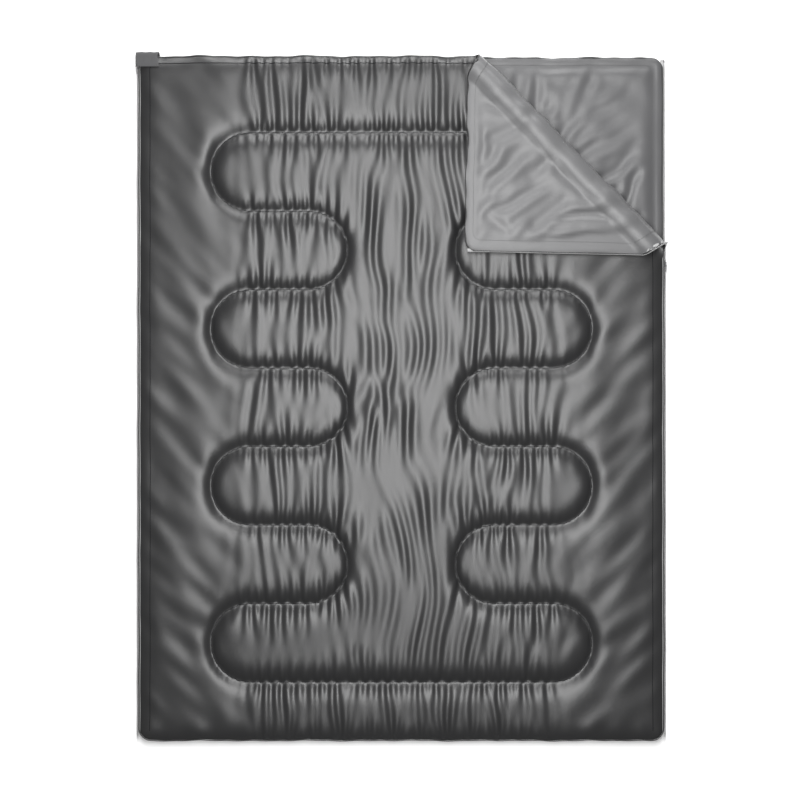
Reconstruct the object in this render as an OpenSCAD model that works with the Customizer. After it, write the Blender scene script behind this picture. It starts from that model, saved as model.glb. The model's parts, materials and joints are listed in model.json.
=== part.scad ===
// Rectangular double sleeping bag, lying flat with the top quilt's right head corner folded back.
// +X is the right side, +Y is the head end and +Z is up.
// The origin is on the ground under the middle of the bag.

/* [Quilts] */
// Width across the quilts, between their side edges
quilt_w = 1452; // [1300:2:1600]
// Length from the foot gusset's outer face to the head edge
quilt_l = 1900; // [1800:10:2200]
// Thickness of each quilt
quilt_t = 20; // [18:1:30]
// Height of the sleeping space while the bag lies flat and empty
space_h = 6; // [6:1:12]
// Thickness of the outer and the inner cloth
cloth_t = 1; // [0.6:0.1:1.5]
// How far the batting stops short of the cloth's edge
fill_inset = 4; // [3:1:8]
// Radius of the quilts' corners
corner_r = 30; // [15:1:50]
// Thickness of the gusset that closes the foot
gusset_t = 2; // [1:0.5:3]

/* [Folded corner] */
// Length of head edge that is folded back
fold_head = 540; // [420:10:620]
// Length of side edge that is folded back
fold_side = 550; // [420:10:620]
// How far the fold's axis lies above the top quilt
fold_lift = 0.5; // [0.5:0.1:2]
// Gap from the fold's axis to the cloth on either side of it
fold_gap = 1; // [1:0.5:3]
// Angle at which the folded corner springs up off the quilt
fold_tilt = 2; // [1:0.5:6]

/* [Quilting] */
// Number of rows in the stitched meander
quilt_rows = 7; // [5:2:7]
// Distance from one stitched line to the next
row_pitch = 218; // [200:1:230]
// Distance from the head edge to the first stitched line
head_margin = 211; // [180:1:230]
// Distance from the side edge to the end of a long row
side_margin = 197; // [150:1:220]
// Half the width of the unstitched middle, between the short rows
middle_half = 150; // [100:5:200]
// Width of a line of stitching
stitch_w = 2; // [1:0.5:4]
// Height of a line of stitching
stitch_t = 0.3; // [0.2:0.05:0.3]
// Distance from the head edge to its hem stitching
hem_head = 20; // [12:1:30]
// Distance from the side edge to its hem stitching
hem_side = 28; // [20:1:40]

/* [Zips] */
// Distance from the quilts' side edge out to the zip's plane
zip_out = 5; // [5:0.5:8]
// Thickness of the zip tapes
tape_t = 0.8; // [0.6:0.1:1]
// Width of a coil across the zip's plane
coil_w = 2.2; // [2:0.1:2.6]
// Height of a coil along the zip's plane
coil_h = 2; // [1.6:0.1:2.4]
// Gap between the two coils
coil_gap = 1.8; // [1.8:0.1:2.4]
// Distance from each end of the bag to the zip's end stops
zip_end = 14; // [10:1:20]
// Length of a slider
slider_l = 18; // [16:1:22]
// Thickness of a slider's plates
slider_plate = 1.4; // [1:0.1:1.6]
// Length of a pull from its pin
pull_l = 26; // [20:1:30]

/* [Closure tab] */
// Width of the tab over the left zip's end
tab_w = 65; // [50:1:80]
// How far the tab stands out past the head edge
tab_reach = 12; // [10:1:16]
// Length of tab that lies on the top quilt
tab_lap = 30; // [24:1:40]
// Thickness of the tab
tab_t = 2; // [1:0.5:3]

/* [Hidden] */
SHELL_COLOR = [0.27, 0.27, 0.28];
LINING_COLOR = [0.58, 0.58, 0.59];
FILL_COLOR = [0.93, 0.93, 0.92];
THREAD_COLOR = [0.16, 0.16, 0.17];
TAPE_COLOR = [0.78, 0.78, 0.78];
METAL_COLOR = [0.45, 0.45, 0.46];
ARC_STEPS = 10; // segments in a rounded corner or a row's end
CLEAR = 0.5; // clearance of a slider round the coils and at its stops

half_w = quilt_w / 2;
head_y = (quilt_l - tab_reach) / 2;
foot_y = -(quilt_l + tab_reach) / 2;
quilt_foot_y = foot_y + gusset_t;
top_z = quilt_t + space_h;
top_face_z = top_z + quilt_t;
fold_z = top_face_z + fold_lift;

// The fold's axis runs from the head edge to the right side edge.
fold_from = [half_w - fold_head, head_y];
fold_len = norm([fold_head, fold_side]);
fold_dir = [fold_head, -fold_side] / fold_len;
fold_out = [fold_side, fold_head] / fold_len; // towards the folded corner when it is closed
stitch_clear = 8; // stitching stops this far short of the fold's axis

row_r = row_pitch / 2;
long_x = half_w - side_margin - row_r;
short_x = middle_half + row_r;

zip_x = half_w + zip_out;
zip_mid_z = quilt_t + space_h / 2;
coil_in = coil_gap / 2;
coil_out = coil_in + coil_h;
zip_foot_y = foot_y + zip_end;
zip_head_y = head_y - zip_end;
stop_l = 5;
tape_over = 4; // the tapes run this far past the stops

plate_in = coil_w / 2 + CLEAR; // a slider's plates start this far from the zip's plane
plate_out = plate_in + slider_plate;
eye_r = 1.6;
pin_r = 0.7;
pin_fit = 0.08; // radial clearance of a pull on its pin
pin_out = plate_out + eye_r + 0.3;
pin_y = 3;
ear_in = 1.6;
ear_out = 2.8;
eye_half = 1.2;
// The right slider waits just below the fold, and the left one is closed up to its head stop.
right_slider_y = head_y - fold_side - 24;
left_slider_y = zip_head_y - slider_l / 2 - CLEAR;

tab_left = -zip_x - 6;
tab_hinge_z = 16;
patch_t = 0.9; // thickness of the hook patch and of the loop patch
patch_gap = 0.3;
tab_under_z = top_face_z + 2 * patch_t + patch_gap;

// ---- outlines ----

function arc(centre, r, from, to, steps = ARC_STEPS) =
    [for (i = [0:steps]) let (a = from + (to - from) * i / steps) centre + r * [cos(a), sin(a)]];

// Where the line at a distance s beyond the fold's axis meets the head edge and the side edge,
// each moved in by d.
function fold_on_head(s, d) = [fold_from.x + (s + d * fold_out.y) / fold_out.x, head_y - d];
function fold_on_side(s, d) =
    [half_w - d, head_y + (s - (fold_head - d) * fold_out.x) / fold_out.y];

function corner(sx, y, d, from) =
    let (r = corner_r - d, up = y > 0 ? -1 : 1)
    arc([sx * (half_w - corner_r), y + up * corner_r], r, from, from + 90);

function whole_outline(d) = concat(
    corner(1, head_y, d, 0), corner(-1, head_y, d, 90),
    corner(-1, quilt_foot_y, d, 180), corner(1, quilt_foot_y, d, 270));

// The top quilt without its folded corner
function top_outline(d, s) = concat(
    [fold_on_side(-s, d), fold_on_head(-s, d)], corner(-1, head_y, d, 90),
    corner(-1, quilt_foot_y, d, 180), corner(1, quilt_foot_y, d, 270));

function flap_outline(d, s) = concat(
    [fold_on_side(s, d)], corner(1, head_y, d, 0), [fold_on_head(s, d)]);

// A point's normal along a path, and the path moved sideways by d
function normal_at(p, i, closed) =
    let (n = len(p), last = closed ? (i + n - 1) % n : max(i - 1, 0),
         next = closed ? (i + 1) % n : min(i + 1, n - 1), t = p[next] - p[last])
    [-t.y, t.x] / norm(t);
function beside(p, d, closed) = [for (i = [0:len(p) - 1]) p[i] + d * normal_at(p, i, closed)];
function turned(p) = [for (i = [len(p) - 1:-1:0]) p[i]];
function strip(p, w) = concat(beside(p, w / 2, false), turned(beside(p, -w / 2, false)));

// The right half of the meander, from the head down: long rows end in a bulge to the right, and
// the short rows between them in a bulge to the left.
function row_y(k) = head_y - head_margin - k * row_pitch;
function meander_right() = [
    for (k = [0:quilt_rows - 1])
        let (mid = (row_y(k) + row_y(k + 1)) / 2)
        each k % 2 == 0 ? arc([long_x, mid], row_r, 90, -90) : arc([short_x, mid], row_r, 90, 270)];
function meander() =
    concat(meander_right(), [for (p = turned(meander_right())) [-p.x, p.y]]);

// ---- building blocks ----

module plate(outline, z, t) {
    translate([0, 0, z]) linear_extrude(t) polygon(outline);
}

module ribbon(path, z) {
    plate(strip(path, stitch_w), z, stitch_t);
}

module loop_ribbon(path, z) {
    n = len(path);
    translate([0, 0, z]) linear_extrude(stitch_t)
        polygon(concat(beside(path, stitch_w / 2, true), beside(path, -stitch_w / 2, true)),
                [[for (i = [0:n - 1]) i], [for (i = [0:n - 1]) n + i]]);
}

// Everything beyond the line at a distance s past the fold's axis
module beyond_fold(s) {
    p = fold_from + s * fold_out;
    translate([p.x, p.y, 0]) rotate(atan2(fold_dir.y, fold_dir.x))
        translate([-quilt_w, 0, -quilt_t]) cube([2 * quilt_w, quilt_w, 4 * quilt_t]);
}

// Turns the closed corner back about the fold's axis to where it lies
module folded() {
    translate([fold_from.x, fold_from.y, fold_z])
        rotate(a = 180 - fold_tilt, v = [fold_dir.x, fold_dir.y, 0])
            translate([-fold_from.x, -fold_from.y, -fold_z]) children();
}

// Extrudes an outline drawn in X and Z along Y, or one drawn in Y and Z along X
module run_y(from, to) {
    translate([0, to, 0]) rotate([90, 0, 0]) linear_extrude(to - from) children();
}
module run_x(from, to) {
    translate([from, 0, 0]) rotate([90, 0, 90]) linear_extrude(to - from) children();
}

// Mirrors a lower half of a zip into its upper half, and a right-hand piece to the left
module upper_half() {
    translate([0, 0, 2 * zip_mid_z]) mirror([0, 0, 1]) children();
}
module left_hand() {
    mirror([1, 0, 0]) children();
}

// ---- quilts ----

module bottom_shell() {
    color(SHELL_COLOR) plate(whole_outline(0), 0, cloth_t);
}

module bottom_fill() {
    color(FILL_COLOR)
        plate(whole_outline(fill_inset), cloth_t, quilt_t - 2 * cloth_t - stitch_t);
}

module bottom_lining() {
    color(LINING_COLOR) plate(whole_outline(0), quilt_t - cloth_t, cloth_t);
}

module bottom_quilting() {
    color(THREAD_COLOR) loop_ribbon(meander(), quilt_t - cloth_t - stitch_t);
}

// Down both sides and across the head, on the lining
module bottom_hem_stitching() {
    x = half_w - hem_side;
    low_y = quilt_foot_y + hem_side;
    r = corner_r - hem_head / 2;
    color(THREAD_COLOR) ribbon(concat(
        [[-x, low_y]], turned(arc([-x + r, head_y - hem_head - r], r, 90, 180)),
        turned(arc([x - r, head_y - hem_head - r], r, 0, 90)), [[x, low_y]]), quilt_t);
}

module top_shell() {
    color(SHELL_COLOR) plate(top_outline(0, fold_gap), top_face_z - cloth_t, cloth_t);
}

module top_fill() {
    color(FILL_COLOR)
        plate(top_outline(fill_inset, fill_inset), top_z + cloth_t, quilt_t - 2 * cloth_t);
}

module top_lining() {
    color(LINING_COLOR) plate(top_outline(0, fold_gap), top_z, cloth_t);
}

module top_quilting() {
    color(THREAD_COLOR) difference() {
        loop_ribbon(meander(), top_face_z);
        beyond_fold(-stitch_clear);
    }
}

// Up the left side and across the head to the fold, and up the right side to the fold; the loop
// patch is sewn over the left corner of it
module top_hem_stitching() {
    x = half_w - hem_side;
    low_y = quilt_foot_y + hem_side;
    r = corner_r - hem_head / 2;
    color(THREAD_COLOR) {
        difference() {
            ribbon(concat([[-x, low_y]], turned(arc([-x + r, head_y - hem_head - r], r, 90, 180)),
                          [fold_on_head(-stitch_clear, hem_head)]), top_face_z);
            patch(top_face_z, stitch_w);
        }
        ribbon([[x, low_y], fold_on_side(-stitch_clear, hem_side)], top_face_z);
    }
}

module flap_shell() {
    color(SHELL_COLOR) folded() plate(flap_outline(0, fold_gap), top_face_z - cloth_t, cloth_t);
}

module flap_fill() {
    color(FILL_COLOR) folded()
        plate(flap_outline(fill_inset, fill_inset), top_z + cloth_t, quilt_t - 2 * cloth_t);
}

module flap_lining() {
    color(LINING_COLOR) folded() plate(flap_outline(0, fold_gap), top_z, cloth_t);
}

module flap_quilting() {
    color(THREAD_COLOR) folded() intersection() {
        loop_ribbon(meander(), top_face_z);
        beyond_fold(stitch_clear);
    }
}

module flap_hem_stitching() {
    x = half_w - hem_side;
    r = corner_r - hem_head / 2;
    color(THREAD_COLOR) folded() ribbon(concat(
        [fold_on_head(stitch_clear, hem_head)],
        turned(arc([x - r, head_y - hem_head - r], r, 0, 90)),
        [fold_on_side(stitch_clear, hem_side)]), top_face_z);
}

module foot_gusset() {
    color(SHELL_COLOR) translate([corner_r - half_w, foot_y, cloth_t / 2])
        cube([quilt_w - 2 * corner_r, gusset_t, top_face_z - cloth_t]);
}

// ---- zips ----

// The lower right tape: sewn in at the quilt's mid-height, then turned up to the coil
module tape(from, to) {
    seam_z = quilt_t / 2;
    top = zip_mid_z - coil_out;
    color(TAPE_COLOR) run_y(from, to) polygon([
        [half_w - fill_inset, seam_z - tape_t / 2], [zip_x + tape_t / 2, seam_z - tape_t / 2],
        [zip_x + tape_t / 2, top], [zip_x - tape_t / 2, top],
        [zip_x - tape_t / 2, seam_z + tape_t / 2], [half_w - fill_inset, seam_z + tape_t / 2]]);
}

module coil(from, to) {
    color(TAPE_COLOR) translate([zip_x - coil_w / 2, from, zip_mid_z - coil_out])
        cube([coil_w, to - from, coil_h]);
}

module stop_block(y, low, high) {
    color(METAL_COLOR) translate([zip_x - plate_in, y, zip_mid_z + low])
        cube([2 * plate_in, stop_l, high - low]);
}

tape_foot_y = zip_foot_y - tape_over;
tape_head_y = zip_head_y + stop_l + tape_over;
coil_foot_y = zip_foot_y + stop_l;
fold_low_y = fold_on_side(-stitch_clear, 0).y;
fold_high_y = fold_on_side(stitch_clear, 0).y;

module left_lower_tape() { left_hand() tape(tape_foot_y, tape_head_y); }
module left_upper_tape() { left_hand() upper_half() tape(tape_foot_y, tape_head_y); }
module left_lower_coil() { left_hand() coil(coil_foot_y, zip_head_y); }
module left_upper_coil() { left_hand() upper_half() coil(coil_foot_y, zip_head_y); }
module right_lower_tape() { tape(tape_foot_y, tape_head_y); }
module right_upper_tape() { upper_half() tape(tape_foot_y, fold_low_y); }
module right_lower_coil() { coil(coil_foot_y, zip_head_y); }
module right_upper_coil() { upper_half() coil(coil_foot_y, fold_low_y); }
module flap_tape() { folded() upper_half() tape(fold_high_y, tape_head_y); }
module flap_coil() { folded() upper_half() coil(fold_high_y, zip_head_y); }

module bottom_stops() {
    stop_block(zip_foot_y, -coil_out, coil_out);
    left_hand() stop_block(zip_foot_y, -coil_out, coil_out);
}

module top_stops() {
    stop_block(zip_head_y, -coil_out, -coil_in);
    left_hand() stop_block(zip_head_y, -coil_out, -coil_in);
    left_hand() stop_block(zip_head_y, coil_in, coil_out);
}

module flap_stop() { folded() stop_block(zip_head_y, coil_in, coil_out); }

// Two shield-shaped plates joined by a post between the coils, with rails along the tape, and
// ears with a pin for the pull
module slider(y) {
    half_l = slider_l / 2;
    wide = coil_out + 3.6;
    narrow = coil_out + 1.7;
    rail = coil_out + CLEAR + 0.2;
    shield = [[-half_l, -narrow], [half_l - 7, -wide], [half_l - 2, -wide], [half_l, -narrow],
              [half_l, narrow], [half_l - 2, wide], [half_l - 7, wide], [-half_l, narrow]];
    ear = concat([[plate_out - CLEAR, pin_y - 3], [plate_out, pin_y - 3]],
                 arc([pin_out, pin_y], eye_r, -60, 60),
                 [[plate_out, pin_y + 3], [plate_out - CLEAR, pin_y + 3]]);
    color(METAL_COLOR) translate([zip_x, y, zip_mid_z]) {
        for (side = [-1, 1]) {
            run_x(side > 0 ? plate_in : -plate_out, side > 0 ? plate_out : -plate_in)
                polygon(shield);
            for (edge = [-1, 1])
                translate([side > 0 ? tape_t : -plate_out + CLEAR, -half_l,
                           edge > 0 ? rail : -rail - 1])
                    cube([plate_out - CLEAR - tape_t, slider_l - 2, 1]);
        }
        translate([-plate_out + CLEAR, half_l - 6, CLEAR - coil_in])
            cube([2 * (plate_out - CLEAR), 4, 2 * (coil_in - CLEAR)]);
        for (side = [-1, 1])
            translate([0, 0, side > 0 ? ear_in : -ear_out])
                linear_extrude(ear_out - ear_in) polygon(ear);
        translate([pin_out, pin_y, -ear_out]) cylinder(r = pin_r, h = 2 * ear_out, $fn = 48);
    }
}

// A flat tongue with an eye on the slider's pin and a hole at its free end
module pull(y) {
    neck = eye_half;
    blade = 3.2;
    thick = 1.2;
    tongue = concat([[-1, -neck], [-4, -neck], [-7, -blade]],
                    turned(arc([-pull_l + blade, 0], blade, 90, 270, ARC_STEPS)),
                    [[-7, blade], [-4, neck], [-1, neck]]);
    color(METAL_COLOR) translate([zip_x + pin_out, y + pin_y, zip_mid_z]) difference() {
        union() {
            run_x(-thick / 2, thick / 2) polygon(tongue);
            translate([0, 0, -eye_half]) cylinder(r = eye_r - 0.05, h = 2 * eye_half, $fn = 48);
        }
        translate([0, 0, -eye_half - 1])
            cylinder(r = pin_r + pin_fit, h = 2 * eye_half + 2, $fn = 48);
        translate([-thick, blade - pull_l, 0]) rotate([0, 90, 0])
            cylinder(r = blade / 2, h = 2 * thick, $fn = 32);
    }
}

module left_slider() { left_hand() slider(left_slider_y); }
module left_pull() { left_hand() pull(left_slider_y); }
module right_slider() { slider(right_slider_y); }
module right_pull() { pull(right_slider_y); }

// ---- closure tab over the left zip's end ----

// Up from the bottom quilt's head edge, round the top quilt's edge, and back along the shell
module closure_tab() {
    out = head_y + tab_reach - tab_t / 2;
    top = tab_under_z + tab_t / 2;
    r = 8;
    path = concat([[head_y + tab_t, tab_hinge_z], [out, tab_hinge_z + 10]],
                  arc([out - r, top - r], r, 0, 90), [[head_y - tab_lap, top]]);
    color(SHELL_COLOR) run_x(tab_left, tab_left + tab_w) polygon(strip(path, tab_t));
}

// A patch of hook or loop under the tab, grown sideways for the room it takes in the stitching
module patch(z, grow = 0) {
    edge = 8;
    translate([-half_w + edge - grow, head_y - tab_lap + 2 - grow, z])
        cube([tab_left + tab_w + half_w - 2 * (edge - grow), tab_lap - edge + 2 * grow, patch_t]);
}

module tab_hook() { color(THREAD_COLOR) patch(tab_under_z - patch_t); }
module tab_loop() { color(THREAD_COLOR) patch(top_face_z); }

bottom_shell();
bottom_fill();
bottom_lining();
bottom_quilting();
bottom_hem_stitching();
top_shell();
top_fill();
top_lining();
top_quilting();
top_hem_stitching();
flap_shell();
flap_fill();
flap_lining();
flap_quilting();
flap_hem_stitching();
foot_gusset();
left_lower_tape();
left_upper_tape();
left_lower_coil();
left_upper_coil();
right_lower_tape();
right_upper_tape();
right_lower_coil();
right_upper_coil();
flap_tape();
flap_coil();
bottom_stops();
top_stops();
flap_stop();
left_slider();
left_pull();
right_slider();
right_pull();
closure_tab();
tab_hook();
tab_loop();
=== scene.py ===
"""Rectangular double sleeping bag with one head corner folded back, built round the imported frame.

The quilts' cloths are simulated flat, with the top quilt closed, by the small cloth solver below.
The pieces of the top quilt that cross the fold are then turned back by fold_back().
"""
import json
import math

import bpy
import numpy as np
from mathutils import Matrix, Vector
from mathutils.kdtree import KDTree


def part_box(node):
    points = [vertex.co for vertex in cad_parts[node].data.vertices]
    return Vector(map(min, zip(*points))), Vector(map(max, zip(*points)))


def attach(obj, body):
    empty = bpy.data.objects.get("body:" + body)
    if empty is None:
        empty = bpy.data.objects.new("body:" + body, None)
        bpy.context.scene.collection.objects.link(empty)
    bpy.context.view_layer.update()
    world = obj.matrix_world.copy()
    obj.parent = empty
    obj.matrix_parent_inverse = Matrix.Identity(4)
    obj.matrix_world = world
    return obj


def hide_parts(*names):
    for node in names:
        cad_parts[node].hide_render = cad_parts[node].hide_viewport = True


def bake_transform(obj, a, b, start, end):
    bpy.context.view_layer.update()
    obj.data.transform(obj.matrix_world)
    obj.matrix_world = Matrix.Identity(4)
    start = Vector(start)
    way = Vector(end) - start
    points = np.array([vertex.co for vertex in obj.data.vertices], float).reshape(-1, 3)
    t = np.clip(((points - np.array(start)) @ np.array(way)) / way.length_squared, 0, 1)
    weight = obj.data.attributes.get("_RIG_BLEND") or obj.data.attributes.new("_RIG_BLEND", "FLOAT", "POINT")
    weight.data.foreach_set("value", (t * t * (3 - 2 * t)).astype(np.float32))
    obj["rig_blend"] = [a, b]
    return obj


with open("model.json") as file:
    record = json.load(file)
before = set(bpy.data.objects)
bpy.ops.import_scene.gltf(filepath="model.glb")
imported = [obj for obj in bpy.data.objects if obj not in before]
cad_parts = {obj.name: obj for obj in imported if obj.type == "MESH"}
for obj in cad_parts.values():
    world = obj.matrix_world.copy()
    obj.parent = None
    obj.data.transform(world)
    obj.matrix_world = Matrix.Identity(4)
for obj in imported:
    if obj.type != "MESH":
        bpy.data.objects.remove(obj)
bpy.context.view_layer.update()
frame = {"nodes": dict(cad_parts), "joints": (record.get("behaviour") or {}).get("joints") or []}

# ---- sizes from the frame, in metres ----

shell_low, shell_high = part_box("bottom_shell")
HALF_W = shell_high[0]
HEAD_Y = shell_high[1]
FOOT_Y = shell_low[1]
BOTTOM_TOP_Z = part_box("bottom_lining")[1][2]
TOP_BASE_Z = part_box("top_lining")[0][2]
TOP_FACE_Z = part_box("top_shell")[1][2]
TOP_EDGE_Z = (TOP_BASE_Z + TOP_FACE_Z) / 2
BOTTOM_EDGE_Z = BOTTOM_TOP_Z / 2

lower_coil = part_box("right_lower_coil")
upper_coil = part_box("left_upper_coil")
lower_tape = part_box("right_lower_tape")
ZIP_X = (lower_coil[0][0] + lower_coil[1][0]) / 2
ZIP_MID_Z = (lower_coil[1][2] + upper_coil[0][2]) / 2
COIL_OUT = upper_coil[1][2] - ZIP_MID_Z
TAPE_T = 0.0008

fold = next(j for j in frame["joints"] if j["name"] == "flap_fold")
FOLD_AT = np.array(fold["pos_m"], float)
FOLD_AXIS = -np.array(fold["axis"], float)
FOLD_TURN = math.radians(max(fold["range_deg"], key=abs))
FOLD_OUT = np.array([-FOLD_AXIS[1], FOLD_AXIS[0], 0.0])  # towards the corner when it is closed
FOLD_LIFT = math.pi - FOLD_TURN
BEND_FROM = 0.011  # the cloth starts to bend this far past the fold's axis, clear of the pull
BEND_TO = 0.045
BEND_MID = (BEND_FROM + BEND_TO) / 2

# ---- sizes of the soft pieces, in metres ----

CORNER_R = 0.030
ROWS = 7
ROW_PITCH = 0.218
ROW_R = ROW_PITCH / 2
ROW_TOP = HEAD_Y - 0.211
LONG_X = HALF_W - 0.306
SHORT_X = 0.259
HEM_HEAD = 0.020
HEM_SIDE = 0.028
HEM_R = 0.020
EDGE_R = 0.0024  # the turned edge of a quilt, as a cord
STITCH = 0.0042
STITCH_LIFT = 0.0005
# the quilting stitches are drawn thicker than real thread, so that with their dark, dull finish they paint
# the shade in the seam's narrow valley
STITCH_R = 0.0011
HEM_STITCH_R = 0.0005
# grid lines that every cloth has, so that the seams fall on them
X_STOPS = [-HALF_W, -LONG_X - ROW_R, ROW_R - SHORT_X, SHORT_X - ROW_R, LONG_X + ROW_R, HALF_W]
Y_STOPS = [FOOT_Y] + [ROW_TOP - k * ROW_PITCH for k in range(ROWS, -1, -1)] + [HEAD_Y]
MIDDLE = np.array([0.0, (HEAD_Y + FOOT_Y) / 2])
HALVES = np.array([HALF_W, (HEAD_Y - FOOT_Y) / 2])


# ---- the quilting line and the quilts' outline ----

def even_points(path, step):
    """Points a step apart along a path of points."""
    path = np.asarray(path, float)
    along = np.concatenate([[0], np.cumsum(np.linalg.norm(np.diff(path, axis=0), axis=1))])
    at = np.linspace(0, along[-1], max(2, round(along[-1] / step) + 1))
    return np.column_stack([np.interp(at, along, path[:, k]) for k in range(path.shape[1])])


def meander():
    """The closed quilting line: long rows end in a bulge outwards, short rows in one inwards."""
    right = []
    for k in range(ROWS):
        mid = ROW_TOP - (k + 0.5) * ROW_PITCH
        centre, side = (LONG_X, 1) if k % 2 == 0 else (SHORT_X, -1)
        for a in np.linspace(math.pi / 2, -math.pi / 2, 49):
            right.append((centre + side * ROW_R * math.cos(a), mid + ROW_R * math.sin(a)))
    left = [(-x, y) for x, y in reversed(right)]
    return np.array(right + left + right[:1])


def hem_line():
    """Up the left side, round both head corners and down the right side."""
    inset_side, inset_head, r = HEM_SIDE, HEM_HEAD, HEM_R
    x, y = HALF_W - inset_side, HEAD_Y - inset_head
    path = [(-x, FOOT_Y + inset_side)]
    for a in np.linspace(math.pi, math.pi / 2, 13):
        path.append((-x + r + r * math.cos(a), y - r + r * math.sin(a)))
    for a in np.linspace(math.pi / 2, 0, 13):
        path.append((x - r + r * math.cos(a), y - r + r * math.sin(a)))
    return np.array(path + [(x, FOOT_Y + inset_side)])


def tree_of(*paths):
    """Lines on the flat quilt, ready to be asked for their nearest point."""
    points = np.vstack([even_points(path, 0.002) for path in paths])
    tree = KDTree(len(points))
    for i, p in enumerate(points):
        tree.insert((p[0], p[1], 0), i)
    tree.balance()
    return tree


def nearest(tree, xy):
    """Each point's distance to a line, and the line's nearest point."""
    flat = xy.reshape(-1, 2)
    found = [tree.find((x, y, 0)) for x, y in flat]
    there = np.array([f[0][:2] for f in found]).reshape(xy.shape)
    return np.array([f[2] for f in found]).reshape(xy.shape[:-1]), there


def edge_distance(xy):
    """How far each point lies inside the quilts' rounded outline."""
    q = np.abs(xy - MIDDLE) - (HALVES - CORNER_R)
    outside = np.linalg.norm(np.maximum(q, 0), axis=-1)
    return CORNER_R - outside - np.minimum(q.max(-1), 0)


def rounded(xy):
    """Pulls the corners of a rectangular grid in to the quilts' rounded outline."""
    off = xy - MIDDLE
    t = np.clip((np.abs(off) - (HALVES - CORNER_R)) / CORNER_R, 0, 1)
    a, b = t[..., 0], t[..., 1]
    t = np.stack([a * np.sqrt(1 - b * b / 2), b * np.sqrt(1 - a * a / 2)], -1)
    moved = MIDDLE + np.sign(off) * (HALVES - CORNER_R + CORNER_R * t)
    return np.where(((a > 0) & (b > 0))[..., None], moved, xy)


def beyond_fold(xy):
    """Each point's distance past the fold's axis, towards the corner when it is closed."""
    return (xy - FOLD_AT[:2]) @ FOLD_OUT[:2]


def rise(distance, reach):
    """0 at a seam, then up like the side of a pillow to 1 at its reach."""
    t = np.clip(distance / reach, 0, 1)
    return np.sqrt(1 - (1 - t) ** 2)


def edge_place(xy):
    """Where the quilts' outer edge lies: the cut outline, a little uneven as sewn cloth is."""
    x, y = xy[..., 0], xy[..., 1]
    wave = (np.sin(x * 23 + 1.3) + np.sin(x * 41 - 0.6) + 0.7 * np.sin(x * 87)) * 0.0009
    side_wave = (np.sin(y * 17 + 0.4) + np.sin(y * 37 + 2.0)) * 0.0004
    ends = np.clip((np.abs(y - MIDDLE[1]) - HALVES[1] + CORNER_R) / CORNER_R, 0, 1)
    inner = np.clip((HALF_W - np.abs(x)) / 0.06, 0, 1)
    moved = np.stack([x + side_wave * (1 - ends), y + wave * ends * inner], -1)
    return moved, 1.3 * wave * ends * inner


# ---- the cloth solver ----

ALL = slice(None)
FIRST, NEXT = slice(None, -1), slice(1, None)
THREADS = [  # neighbours in the weave's two directions, and across it
    ((ALL, FIRST), (ALL, NEXT), 1.0),
    ((FIRST, ALL), (NEXT, ALL), 1.0),
    ((FIRST, FIRST), (NEXT, NEXT), 0.4),
    ((FIRST, NEXT), (NEXT, FIRST), 0.4),
]


def unevenness(p):
    """How far each point's four neighbours pull it; the rim is only pulled along itself."""
    out = np.zeros_like(p)
    out[1:-1] += p[2:] + p[:-2] - 2 * p[1:-1]
    out[:, 1:-1] += p[:, 2:] + p[:, :-2] - 2 * p[:, 1:-1]
    return out


def kinks_along(p):
    """How far each point's two neighbours along the quilt pull it."""
    out = np.zeros_like(p)
    out[1:-1] = p[2:] + p[:-2] - 2 * p[1:-1]
    return out


def cut_lengths(f):
    """How long each thread between neighbours was cut. The field spare is the extra share of
    cloth each way, and skew the share by which one diagonal is longer and the other shorter."""
    lengths = []
    for (a, b, _), lean in zip(THREADS, (0, 0, 1, -1)):
        spare = (f["spare"][a] + f["spare"][b]) / 2
        skew = lean * (f["skew"][a] + f["skew"][b]) / 2
        d = (f["flat"][b] - f["flat"][a]) * (1 + spare)
        lengths.append((np.linalg.norm(d, axis=-1) * (1 + skew)).astype(np.float32))
    return lengths


def relax(p, f, rounds, seed, bend):
    """Position-based cloth. p is a grid of points, and f its fields: held points stay, the
    batting holds the others to the height loft as firmly as grip says, and the cloth resists
    bending by bend times stiff, and by crease along the quilt."""
    drag, wobble = 0.85, 0.0002
    rng = np.random.default_rng(seed)
    held, low, high = f["held"], f["low"], f["high"]
    p = p.astype(np.float32)
    p[..., 2] += np.where(held, 0, rng.normal(0, wobble, p.shape[:2])).astype(np.float32)
    before = p.copy()
    lengths = cut_lengths(f)
    free = (~held).astype(np.float32)[..., None]
    lift = (f["grip"] * free[..., 0]).astype(np.float32)
    loft = f["loft"].astype(np.float32)
    stiff = (bend * f["stiff"]).astype(np.float32)[..., None]
    crease = f["crease"].astype(np.float32)[..., None]
    for _ in range(rounds):
        step = (p - before) * np.float32(drag)
        before = p
        p = p + step * free
        push = np.zeros_like(p)
        for (a, b, firm), length in zip(THREADS, lengths):
            d = p[b] - p[a]
            now = np.sqrt(np.einsum("ijk,ijk->ij", d, d)) + 1e-9
            pull = d * (np.float32(firm / 2) * (1 - length / now))[..., None]
            push[a] += pull
            push[b] -= pull
        p += push * (free * np.float32(0.5))
        p -= unevenness(unevenness(p)) * (free * stiff)
        p -= kinks_along(kinks_along(p)) * (free * crease)
        p[..., 2] += lift * (loft - p[..., 2])
        p[..., 2] = np.clip(p[..., 2], low, high)
    return p


def ticks(stops, size):
    """Grid lines about size apart, with one on each stop."""
    parts = [np.linspace(a, b, max(1, round((b - a) / size)) + 1)[:-1]
             for a, b in zip(stops, stops[1:])]
    return np.concatenate(parts + [stops[-1:]])


def finer(values, old, new, axis):
    """Values on one axis of a grid, at the new grid lines."""
    at = np.interp(new, old, np.arange(len(old)))
    i = np.minimum(at.astype(int), len(old) - 2)
    f = (at - i).reshape((-1, 1, 1) if axis == 0 else (1, -1, 1))
    return np.take(values, i, axis) * (1 - f) + np.take(values, i + 1, axis) * f


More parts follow.
